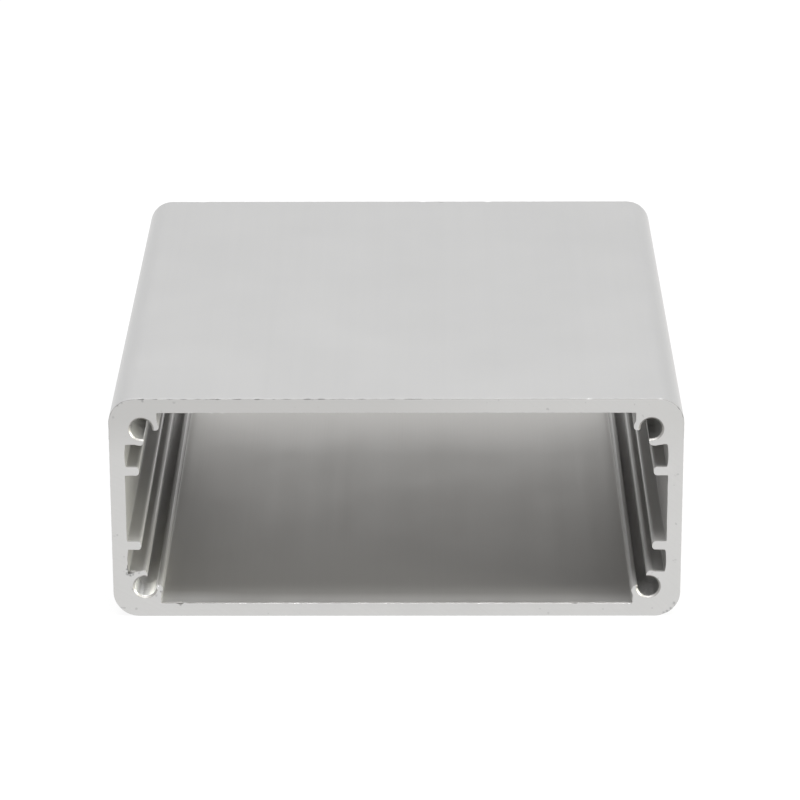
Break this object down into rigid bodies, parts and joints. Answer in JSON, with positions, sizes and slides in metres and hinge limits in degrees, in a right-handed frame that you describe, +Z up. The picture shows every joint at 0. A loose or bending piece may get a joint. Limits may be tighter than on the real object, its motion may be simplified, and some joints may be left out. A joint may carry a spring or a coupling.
{
  "type": "extruded aluminium enclosure",
  "caption": "Rectangular aluminium extrusion, open at both ends, with rounded corners, a screw port in each corner and slotted side walls that hold a circuit board.",
  "frame": {"origin": "centre of the base, midway between the two sawn ends", "axes": "+X across the width, +Y along the extrusion, +Z up from the base"},
  "size_m": [0.066, 0.075, 0.027],
  "materials": {
    "matte_aluminium": "matte natural anodised, with square sawn ends"
  },
  "bodies": {
    "root": {"extruded_body": "matte_aluminium"}
  },
  "joints": []
}
